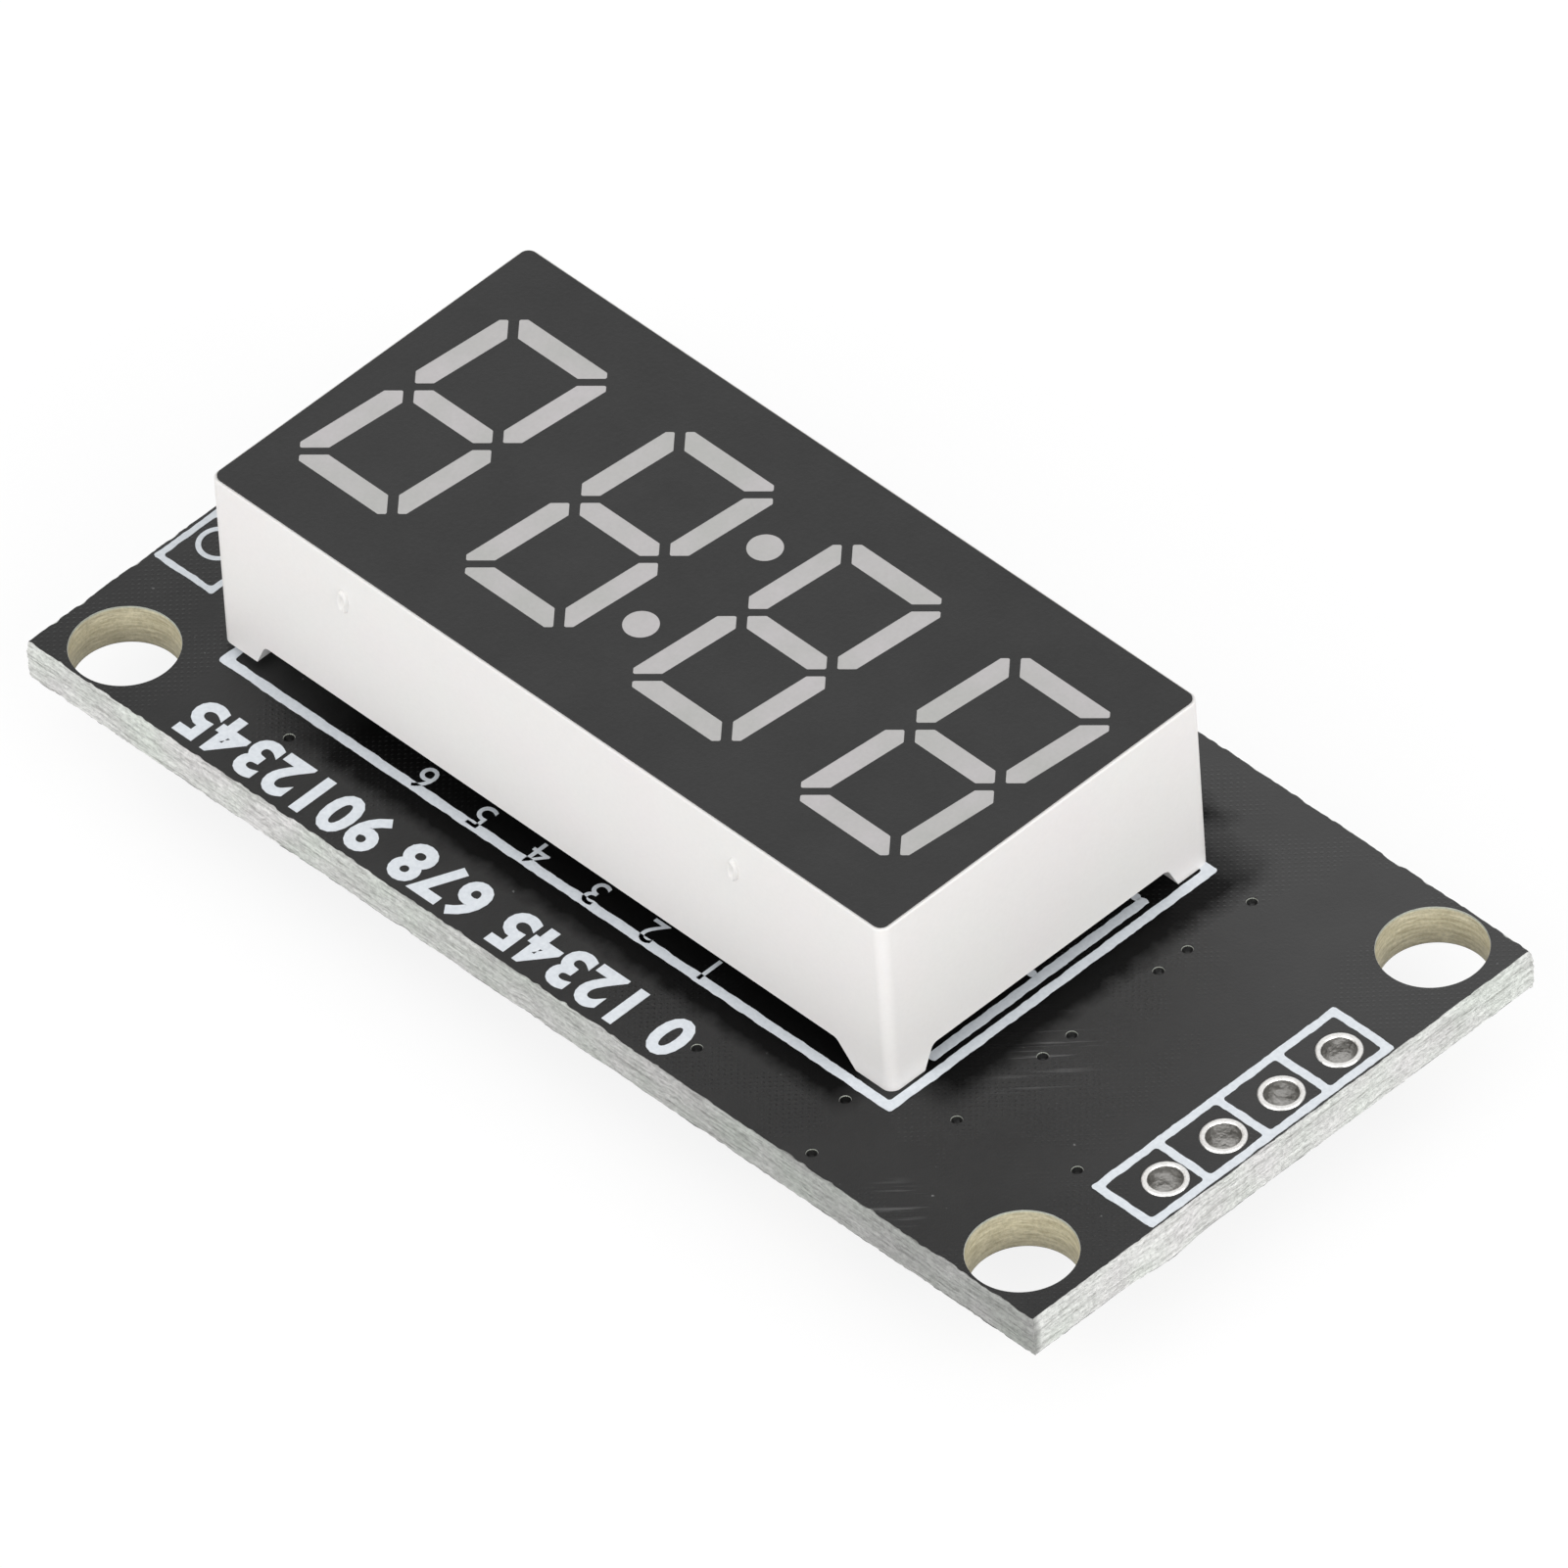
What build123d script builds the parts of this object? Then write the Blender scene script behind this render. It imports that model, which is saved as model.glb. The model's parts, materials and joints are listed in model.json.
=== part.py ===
from build123d import *
import math
import os

# Four-digit seven segment display module: a drilled circuit board with a potted display
# on its front, and the driver chip and its passives on its back.
# Frame: the origin is the centre of the four fixing holes, on the board's back face.
# +X runs along the digits as they are read, +Y is their top, +Z faces the reader. Millimetres.

# Circuit board and its fixing holes
BOARD_LENGTH = 45.0
BOARD_WIDTH = 22.0
BOARD_THICKNESS = 1.6
FIXING_PITCH_X = 40.0
FIXING_PITCH_Y = 18.0
FIXING_HOLE = 3.6

# Header: a column of plated holes beside the board's -X edge
PIN_PITCH = 2.54
HEADER_COUNT = 4
HEADER_INSET = 1.42
PAD_BORE = 1.12
PAD_DIAMETER = 1.54
PAD_RISE = 0.08

# Display: outside of its housing, and where it sits on the board
DISPLAY_LENGTH = 29.9
DISPLAY_WIDTH = 14.0
BODY_HEIGHT = 7.07
SHEET_THICKNESS = 0.06
SHEET_MARGIN = 0.1
CORNER_RADIUS = 0.4
TOP_EDGE_RADIUS = 0.06
DISPLAY_X = 2.8
DISPLAY_Y = -0.1
DISPLAY_LIFT = 0.3           # the +X feet were soldered standing this far off the board

# Housing: walls round the back cavity, and the corner feet left by the notched lower rim
WALL = 0.9
NOTCH_HEIGHT = 0.9
FOOT_ALONG_LENGTH = 1.6
FOOT_ALONG_WIDTH = 1.45
NOTCH_SLOPE_LEFT = 0.8
NOTCH_SLOPE_RIGHT = 0.4
NOTCH_SLOPE_SHORT = 0.4
NOTCH_CURVE = 0.3

# Digits on the face
DIGIT_COUNT = 4
DIGIT_PITCH = 7.44
DIGIT_HEIGHT = 9.26
DIGIT_WIDTH = 4.76
DIGIT_LEAN = 5.0
BAR_WIDTH = 0.81
BAR_GAP = 0.33
TIP_CLIP = 0.19
TIP_RADIUS = 0.07
COLON_DIAMETER = 1.18
COLON_OFFSET = 2.5
THROAT_SHARE = 0.6           # length of a light well at its LED, against its length at the face

# LED board inside the housing, its LEDs and their bond wires, and the resin that seals it in
LED_BOARD_TOP = 2.6
LED_BOARD_THICKNESS = 1.0
LED_BOARD_FIT = 0.15
SEAL_RECESS = 0.1
LED_SIZE = 0.3
LED_HEIGHT = 0.15
WIRE_DIAMETER = 0.05
WIRE_REACH = 0.5

# Display pins and their solder joints
PINS_PER_ROW = 6
PIN_ROW_SPACING = 10.16
PIN_DIAMETER = 0.5
PIN_TAIL = 1.5
PIN_HOLE = 0.95
JOINT_HEIGHT = 1.1
JOINT_FOOT = 1.7
JOINT_NECK = 0.72
JOINT_FILL = 1.3             # how far solder climbs the hole from the board's back

# Driver chip: a twenty-lead small-outline package
CHIP_X = -10.6
CHIP_Y = 0.0
CHIP_WIDTH = 7.5
CHIP_LENGTH = 12.8
CHIP_THICKNESS = 2.2
CHIP_STANDOFF = 0.15
CHIP_DRAFT = 7.0
CHIP_DIMPLE = 1.0
CHIP_DIMPLE_DEPTH = 0.08
CHIP_DIMPLE_INSET = 1.3
LEADS_PER_SIDE = 10
LEAD_PITCH = 1.27
LEAD_SPAN = 10.3
LEAD_WIDTH = 0.4
LEAD_THICKNESS = 0.25
LEAD_FOOT = 0.85
LEAD_SHOULDER = 0.3
LEAD_ROOT = 0.35
LEAD_BEND = 0.26

# Passives on the back: where each one sits, and its length, width and height
CAP_WALL = 0.04
CAP_LENGTH = 0.32
PASSIVE_COLUMN = -18.0
PASSIVE_PITCH = 2.1
RESISTOR_SIZE = (1.6, 0.8, 0.45)
CAPACITOR_SIZE = (1.6, 0.8, 0.8)
BULK_SIZE = (3.2, 1.6, 1.3)
PASSIVES = {
    "clock_pullup_resistor": (PASSIVE_COLUMN, 2 * PASSIVE_PITCH, RESISTOR_SIZE),
    "clock_filter_capacitor": (PASSIVE_COLUMN, PASSIVE_PITCH, CAPACITOR_SIZE),
    "bypass_capacitor": (PASSIVE_COLUMN, 0, CAPACITOR_SIZE),
    "data_filter_capacitor": (PASSIVE_COLUMN, -PASSIVE_PITCH, CAPACITOR_SIZE),
    "data_pullup_resistor": (PASSIVE_COLUMN, -2 * PASSIVE_PITCH, RESISTOR_SIZE),
    "bulk_capacitor": (CHIP_X, (CHIP_LENGTH + BOARD_WIDTH) / 4, BULK_SIZE),
}

# Places that several parts share
HEADER_X = HEADER_INSET - BOARD_LENGTH / 2
BAR_SHIFT = BAR_GAP / math.sqrt(2)       # along an axis, half of a 45 degree mitre's gap
LEAN = math.tan(math.radians(DIGIT_LEAN))
CAVITY_LENGTH = DISPLAY_LENGTH - 2 * WALL
CAVITY_WIDTH = DISPLAY_WIDTH - 2 * WALL
SEAL_BOTTOM = NOTCH_HEIGHT + SEAL_RECESS
DISPLAY_TILT = math.degrees(math.asin(DISPLAY_LIFT / DISPLAY_LENGTH))

# From the display's own frame, centred under its feet, to the board's
DISPLAY_SEAT = Location(
    (DISPLAY_X, DISPLAY_Y, BOARD_THICKNESS + DISPLAY_LIFT / 2), (0, -DISPLAY_TILT, 0)
)


def column(count, pitch):
    """Evenly spaced values about zero, lowest first."""
    return [(index - (count - 1) / 2) * pitch for index in range(count)]


HEADER_SPOTS = [(HEADER_X, -y) for y in column(HEADER_COUNT, PIN_PITCH)]
PIN_SPOTS = [
    (x, y)
    for y in (-PIN_ROW_SPACING / 2, PIN_ROW_SPACING / 2)
    for x in column(PINS_PER_ROW, PIN_PITCH)
]
DIGIT_CENTRES = column(DIGIT_COUNT, DIGIT_PITCH)


def upright_box(length, width, bottom, top):
    """A box centred on the Z axis between two heights."""
    return Pos(0, 0, (bottom + top) / 2) * Box(length, width, top - bottom)


def hole_cutters(spots, diameter):
    """Cylinders through the board at the given places."""
    return [
        Pos(x, y, BOARD_THICKNESS / 2) * Cylinder(diameter / 2, BOARD_THICKNESS) for x, y in spots
    ]


def circuit_board():
    """Laminate with its fixing holes, header holes and display pin holes."""
    laminate = upright_box(BOARD_LENGTH, BOARD_WIDTH, 0, BOARD_THICKNESS)
    fixing_spots = [
        (side_x * FIXING_PITCH_X / 2, side_y * FIXING_PITCH_Y / 2)
        for side_x in (-1, 1)
        for side_y in (-1, 1)
    ]
    pin_spots = [(DISPLAY_X + x, DISPLAY_Y + y) for x, y in PIN_SPOTS]
    cutters = hole_cutters(fixing_spots, FIXING_HOLE)
    cutters += hole_cutters(HEADER_SPOTS, PAD_BORE)
    cutters += hole_cutters(pin_spots, PIN_HOLE)
    return laminate - cutters


def header_pad(spot):
    """Tinned pads of one header hole: a domed ring on each face of the board."""
    bore = PAD_BORE / 2
    rim = PAD_DIAMETER / 2
    outline = Curve() + [
        ThreePointArc((bore, 0, 0), ((bore + rim) / 2, 0, PAD_RISE), (rim, 0, 0)),
        Line((rim, 0, 0), (bore, 0, 0)),
    ]
    ring = revolve(make_face(outline), Axis.Z, 360)
    return [Pos(*spot, 0) * Rot(180, 0, 0) * ring, Pos(*spot, BOARD_THICKNESS) * ring]


def flipped(points, scale_x, scale_y):
    """Points scaled about the origin, which also mirrors them."""
    return [(x * scale_x, y * scale_y) for x, y in points]


def upright_bars():
    """Outlines of a digit's bars a to g before the digit leans."""
    half_width = DIGIT_WIDTH / 2
    half_height = DIGIT_HEIGHT / 2
    inner = half_width - BAR_WIDTH
    knee = BAR_WIDTH / 2 + BAR_SHIFT
    top = [
        (inner - BAR_SHIFT, half_height - BAR_WIDTH),
        (half_width - TIP_CLIP - BAR_SHIFT, half_height - TIP_CLIP),
        (half_width - 2 * TIP_CLIP - BAR_SHIFT, half_height),
    ]
    top += flipped(top[::-1], -1, 1)
    side = [
        (half_width, knee),
        (half_width - BAR_WIDTH / 2, BAR_SHIFT),
        (inner, knee),
        (inner, half_height - BAR_WIDTH - BAR_SHIFT),
        (half_width - TIP_CLIP, half_height - TIP_CLIP - BAR_SHIFT),
        (half_width, half_height - 2 * TIP_CLIP - BAR_SHIFT),
    ]
    middle = [
        (inner - BAR_SHIFT, -BAR_WIDTH / 2),
        (half_width - knee, 0),
        (inner - BAR_SHIFT, BAR_WIDTH / 2),
    ]
    middle += flipped(middle[::-1], -1, 1)
    return {
        "a": top,
        "b": side,
        "c": flipped(side, 1, -1),
        "d": flipped(top, 1, -1),
        "e": flipped(side, -1, -1),
        "f": flipped(side, -1, 1),
        "g": middle,
    }


def bar_face(points, height):
    """A bar's outline leant over with its digit, tips rounded, at a height."""
    leant = [(x + y * LEAN, y, height) for x, y in points]
    face = make_face(Polyline(*leant, close=True))
    return fillet(face.vertices(), TIP_RADIUS)


def middle_of(points):
    """Centre of the box round some points."""
    xs, ys = zip(*points)
    return (min(xs) + max(xs)) / 2, (min(ys) + max(ys)) / 2


def bar_well(points, sideways):
    """A bar's light well: narrow at its LED, and true to the bar through the face sheet."""
    centre_x, centre_y = middle_of(points)
    share_x = THROAT_SHARE if sideways else 1
    share_y = 1 if sideways else THROAT_SHARE
    throat = [
        (centre_x + (x - centre_x) * share_x, centre_y + (y - centre_y) * share_y) for x, y in points
    ]
    mouth = bar_face(points, BODY_HEIGHT)
    funnel = loft([bar_face(throat, LED_BOARD_TOP), mouth], ruled=True)
    return funnel + extrude(mouth, SHEET_THICKNESS, dir=(0, 0, 1))


def dot_well():
    """A colon dot's light well."""
    top = BODY_HEIGHT + SHEET_THICKNESS
    return Pos(0, 0, (LED_BOARD_TOP + top) / 2) * Cylinder(COLON_DIAMETER / 2, top - LED_BOARD_TOP)


def light_places():
    """For each digit and the colon, its lights: the well, its middle and whether it lies sideways."""
    places = {}
    for number, centre in enumerate(DIGIT_CENTRES, 1):
        lights = []
        for name, points in upright_bars().items():
            sideways = name in "adg"
            x, y = middle_of(points)
            well = Pos(centre, 0, 0) * bar_well(points, sideways)
            lights.append((well, (centre + x + y * LEAN, y), sideways))
        places[f"digit_{number}"] = lights
    dots = []
    for y in (COLON_OFFSET, -COLON_OFFSET):
        dots.append((Pos(y * LEAN, y, 0) * dot_well(), (y * LEAN, y), False))
    places["colon"] = dots
    return places


def led_place(middle, sideways):
    """Frame of one LED and its bond wire, with X along its well."""
    return Location((*middle, LED_BOARD_TOP), (0, 0, 0 if sideways else 90))


def led():
    """LED die, to one side of the middle of its well."""
    return Pos(-WIRE_REACH / 2, 0, LED_HEIGHT / 2) * Box(LED_SIZE, LED_SIZE, LED_HEIGHT)


def bond_wire():
    """Wire that rises from the LED board, loops over and lands on the die."""
    reach = WIRE_REACH / 2
    path = Wire([
        Edge.make_line((reach, 0, 0), (reach, 0, LED_HEIGHT)),
        Edge.make_three_point_arc(
            (reach, 0, LED_HEIGHT), (0, 0, LED_HEIGHT + reach), (-reach, 0, LED_HEIGHT)
        ),
    ])
    return sweep(Pos(reach, 0, 0) * Circle(WIRE_DIAMETER / 2), path=path)


def rim_notch(foot, reach, slope_low, slope_high):
    """Profile of the lower rim's notch, in X and Z, from one foot to the other."""
    return [
        (-reach / 2 + foot, 0),
        (-reach / 2 + foot + slope_low, NOTCH_HEIGHT),
        (reach / 2 - foot - slope_high, NOTCH_HEIGHT),
        (reach / 2 - foot, 0),
    ]


def rim_cutter(profile, depth):
    """A notch profile carried right across the housing, its upper corners rounded."""
    face = make_face(Polyline(*[(x, 0, z) for x, z in profile], close=True))
    upper = face.vertices().group_by(Axis.Z)[-1]
    return extrude(fillet(upper, NOTCH_CURVE), depth / 2, dir=(0, 1, 0), both=True)


def display_housing(wells):
    """White shell: light wells from its face, a cavity behind them and a foot at each corner."""
    outline = RectangleRounded(DISPLAY_LENGTH, DISPLAY_WIDTH, CORNER_RADIUS)
    block = extrude(outline, BODY_HEIGHT)
    block = fillet(block.faces().sort_by(Axis.Z)[-1].edges(), TOP_EDGE_RADIUS)
    cavity = upright_box(CAVITY_LENGTH, CAVITY_WIDTH, 0, LED_BOARD_TOP)
    long_notch = rim_notch(FOOT_ALONG_LENGTH, DISPLAY_LENGTH, NOTCH_SLOPE_LEFT, NOTCH_SLOPE_RIGHT)
    short_notch = rim_notch(FOOT_ALONG_WIDTH, DISPLAY_WIDTH, NOTCH_SLOPE_SHORT, NOTCH_SLOPE_SHORT)
    notches = [
        rim_cutter(long_notch, DISPLAY_WIDTH),
        Rot(0, 0, 90) * rim_cutter(short_notch, DISPLAY_LENGTH),
    ]
    return block - cavity - notches - wells


def face_sheet(wells):
    """Black sheet on the housing's face, with a window at each light."""
    outline = RectangleRounded(
        DISPLAY_LENGTH - 2 * SHEET_MARGIN,
        DISPLAY_WIDTH - 2 * SHEET_MARGIN,
        max(CORNER_RADIUS - SHEET_MARGIN, SHEET_MARGIN),
    )
    return extrude(Pos(0, 0, BODY_HEIGHT) * outline, SHEET_THICKNESS) - wells


def display_pin(spot):
    """Straight round pin from the LED board, through the seal and the circuit board."""
    bottom = -BOARD_THICKNESS - PIN_TAIL
    height = LED_BOARD_TOP - bottom
    return Pos(*spot, bottom + height / 2) * Cylinder(PIN_DIAMETER / 2, height)


def led_board(pins):
    """Board that carries the LEDs, pressed on to the pins."""
    bottom = LED_BOARD_TOP - LED_BOARD_THICKNESS
    length = CAVITY_LENGTH - 2 * LED_BOARD_FIT
    width = CAVITY_WIDTH - 2 * LED_BOARD_FIT
    return upright_box(length, width, bottom, LED_BOARD_TOP) - pins


def back_seal(carrier, pins):
    """Resin poured round and behind the LED board."""
    resin = upright_box(CAVITY_LENGTH, CAVITY_WIDTH, SEAL_BOTTOM, LED_BOARD_TOP)
    return resin - carrier - pins


def pin_joint(spot, pin):
    """Solder that fills a pin's hole and climbs its tail in a concave cone."""
    hole = PIN_HOLE / 2
    foot = JOINT_FOOT / 2
    neck = JOINT_NECK / 2
    waist = ((foot + 2 * neck) / 3, 0, -JOINT_HEIGHT / 3)
    outline = Curve() + [
        Polyline(
            (0, 0, -JOINT_HEIGHT),
            (0, 0, JOINT_FILL),
            (hole, 0, JOINT_FILL),
            (hole, 0, 0),
            (foot, 0, 0),
        ),
        ThreePointArc((foot, 0, 0), waist, (neck, 0, -JOINT_HEIGHT)),
        Line((neck, 0, -JOINT_HEIGHT), (0, 0, -JOINT_HEIGHT)),
    ]
    x, y = spot
    solder = revolve(make_face(outline), Axis.Z, 360)
    return Pos(DISPLAY_X + x, DISPLAY_Y + y, 0) * solder - pin


def chip_lead():
    """One gull-wing lead, from inside the chip's +X side to its foot, chip face up."""
    parting = CHIP_STANDOFF + CHIP_THICKNESS / 2
    seat = LEAD_THICKNESS / 2
    toe = LEAD_SPAN / 2
    path = FilletPolyline(
        (CHIP_WIDTH / 2 - LEAD_ROOT, 0, parting),
        (CHIP_WIDTH / 2 + LEAD_SHOULDER, 0, parting),
        (toe - LEAD_FOOT, 0, seat),
        (toe, 0, seat),
        radius=LEAD_BEND,
    )
    start = Plane(origin=path @ 0, x_dir=(0, 1, 0), z_dir=path % 0)
    return sweep(start * Rectangle(LEAD_WIDTH, LEAD_THICKNESS), path=path)


def chip_leads():
    """All leads of the chip, as separate solids."""
    lead = chip_lead()
    leads = []
    for y in column(LEADS_PER_SIDE, LEAD_PITCH):
        leads.append(Pos(0, y, 0) * lead)
        leads.append(Pos(0, y, 0) * Rot(0, 0, 180) * lead)
    return leads


def driver_chip(leads):
    """Moulded body, drafted away from its parting line, with a dimple beside its first lead."""
    outline = Pos(0, 0, CHIP_STANDOFF + CHIP_THICKNESS / 2) * Rectangle(CHIP_WIDTH, CHIP_LENGTH)
    upper = extrude(outline, CHIP_THICKNESS / 2, taper=CHIP_DRAFT)
    lower = extrude(outline, -CHIP_THICKNESS / 2, taper=CHIP_DRAFT)
    top = CHIP_STANDOFF + CHIP_THICKNESS
    dimple_x = CHIP_WIDTH / 2 - CHIP_DIMPLE_INSET
    dimple_y = CHIP_LENGTH / 2 - CHIP_DIMPLE_INSET
    dimple = Pos(dimple_x, dimple_y, top) * Cylinder(CHIP_DIMPLE / 2, 2 * CHIP_DIMPLE_DEPTH)
    return upper + lower - dimple - leads


def passive_body(size):
    """Ceramic block of a passive, chip face up, inside its end caps."""
    length, width, height = size
    return Pos(0, 0, height / 2) * Box(length - 2 * CAP_WALL, width - 2 * CAP_WALL, height - 2 * CAP_WALL)


def passive_caps(size):
    """The two metal caps that wrap a passive's ends."""
    length, width, height = size
    offset = (length - CAP_LENGTH) / 2
    body = passive_body(size)
    return [Pos(side * offset, 0, height / 2) * Box(CAP_LENGTH, width, height) - body for side in (-1, 1)]


def on_back(x, y):
    """From a component's own frame, seat down, to its place on the board's back."""
    return Location((x, y, 0), (180, 0, 0))


def display_parts():
    """Every piece of the display in the display's own frame, pins apart."""
    places = light_places()
    wells = [well for lights in places.values() for well, _, _ in lights]
    pins = [display_pin(spot) for spot in PIN_SPOTS]
    carrier = led_board(pins)
    parts = {
        "display_housing": [display_housing(wells)],
        "face_sheet": [face_sheet(wells)],
        "led_board": [carrier],
        "back_seal": [back_seal(carrier, pins)],
    }
    wires = []
    for name, lights in places.items():
        dies = []
        lenses = []
        for well, middle, sideways in lights:
            place = led_place(middle, sideways)
            die = place * led()
            wire = place * bond_wire()
            dies.append(die)
            wires.append(wire)
            lenses.append(well - die - wire)
        parts[f"{name}_lights"] = lenses
        parts[f"{name}_leds"] = dies
    parts["bond_wires"] = wires
    return parts, pins


def back_parts():
    """Driver chip and passives on the board's back."""
    leads = chip_leads()
    chip_place = on_back(CHIP_X, CHIP_Y)
    parts = {
        "driver_chip": [chip_place * driver_chip(leads)],
        "driver_leads": [chip_place * lead for lead in leads],
    }
    for name, (x, y, size) in PASSIVES.items():
        place = on_back(x, y)
        parts[name] = [place * passive_body(size)]
        parts[f"{name}_caps"] = [place * cap for cap in passive_caps(size)]
    return parts


def module_parts():
    """Every node of the module with its solids, in the board's frame."""
    parts = {"circuit_board": [circuit_board()]}
    for number, spot in enumerate(HEADER_SPOTS, 1):
        parts[f"header_pad_{number}"] = header_pad(spot)
    display, pins = display_parts()
    for name, solids in display.items():
        parts[name] = [DISPLAY_SEAT * solid for solid in solids]
    pins = [DISPLAY_SEAT * pin for pin in pins]
    for number, pin in enumerate(pins, 1):
        parts[f"display_pin_{number}"] = [pin]
    parts["pin_solder_joints"] = [pin_joint(spot, pin) for spot, pin in zip(PIN_SPOTS, pins)]
    parts.update(back_parts())
    return parts


os.makedirs("parts", exist_ok=True)
for node, solids in module_parts().items():
    shape = solids[0] if len(solids) == 1 else Compound(children=solids)
    export_step(shape, f"parts/{node}.step")
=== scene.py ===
import json
import math

import bmesh
import bpy
from mathutils import Matrix, Vector, noise


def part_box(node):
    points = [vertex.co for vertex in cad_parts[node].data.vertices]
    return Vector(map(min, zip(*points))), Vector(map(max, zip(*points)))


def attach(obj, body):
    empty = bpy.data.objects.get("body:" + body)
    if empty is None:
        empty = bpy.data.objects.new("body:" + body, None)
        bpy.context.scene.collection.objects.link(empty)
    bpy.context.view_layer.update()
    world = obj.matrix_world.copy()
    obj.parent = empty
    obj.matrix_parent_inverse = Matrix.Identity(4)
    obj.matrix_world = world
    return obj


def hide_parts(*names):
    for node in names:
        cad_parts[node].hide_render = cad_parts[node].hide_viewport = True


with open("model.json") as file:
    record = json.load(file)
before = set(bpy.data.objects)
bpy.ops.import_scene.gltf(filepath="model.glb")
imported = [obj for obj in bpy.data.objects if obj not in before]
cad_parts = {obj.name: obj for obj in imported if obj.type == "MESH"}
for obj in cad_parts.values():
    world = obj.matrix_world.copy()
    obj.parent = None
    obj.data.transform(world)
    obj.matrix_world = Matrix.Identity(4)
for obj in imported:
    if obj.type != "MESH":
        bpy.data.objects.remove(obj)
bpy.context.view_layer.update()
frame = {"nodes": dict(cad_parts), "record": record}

MM = 0.001


# ---------------------------------------------------------------- places, in millimetres
def node_box(node):
    """A node's lowest and highest corners at rest, in millimetres."""
    low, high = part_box(node)
    return [value / MM for value in low], [value / MM for value in high]


BOARD_HALF_X, BOARD_HALF_Y, BOARD_TOP = node_box("circuit_board")[1]
MASK_THICKNESS = 0.03
INK_THICKNESS = 0.015

MOUNTS = {mount["name"]: mount for mount in frame["record"]["mounts"]}
FIXING = MOUNTS["mounting_holes"]["dims"]
FIXING_RADIUS = FIXING["hole_r_mm"]
FIXING_SPOTS = [
    (side_x * FIXING["spacing_x_mm"] / 2, side_y * FIXING["spacing_y_mm"] / 2)
    for side_x in (-1, 1)
    for side_y in (-1, 1)
]


def middle(node):
    """Middle of a node's box."""
    low, high = node_box(node)
    return [(a + b) / 2 for a, b in zip(low, high)]


HEADER_NODES = [f"header_pad_{number}" for number in range(1, 5)]
HEADER_SPOTS = [tuple(middle(node)[:2]) for node in HEADER_NODES]
HEADER_BORE = MOUNTS["header_hole_1"]["dims"]["r_mm"]
PLATING_THICKNESS = 0.05
HEADER_RADIUS = HEADER_BORE + PLATING_THICKNESS
PIN_NODES = [f"display_pin_{number}" for number in range(1, 13)]
PIN_SPOTS = [tuple(middle(node)[:2]) for node in PIN_NODES]
PIN_HOLE_RADIUS = 0.47
HOUSING_WALL_Y = node_box("display_housing")[1][1]
CHIP_LOW, CHIP_HIGH = node_box("driver_chip")
LEADS_LOW, LEADS_HIGH = node_box("driver_leads")
FLOOR_GAP = 0.02
FLOOR_Z = CHIP_LOW[2] - FLOOR_GAP

# Vias filled with mask: a column between the display and the header, and odd ones elsewhere
VIA_RADIUS = 0.19
MASK_CLEARANCE = 0.012
VIA_SPOTS = [
    (-14.4, 6.3), (-14.4, 2.54), (-14.4, 1.27), (-14.4, -2.54), (-14.4, -3.81), (-14.4, -6.65),
    (-18.75, 5.35), (-12.1, 10.35), (-11.2, 8.0), (-6.15, 9.5), (13.2, 8.4), (19.1, -1.9),
    (12.6, -8.7), (4.3, -8.9), (-4.4, -9.3),
]


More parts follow.
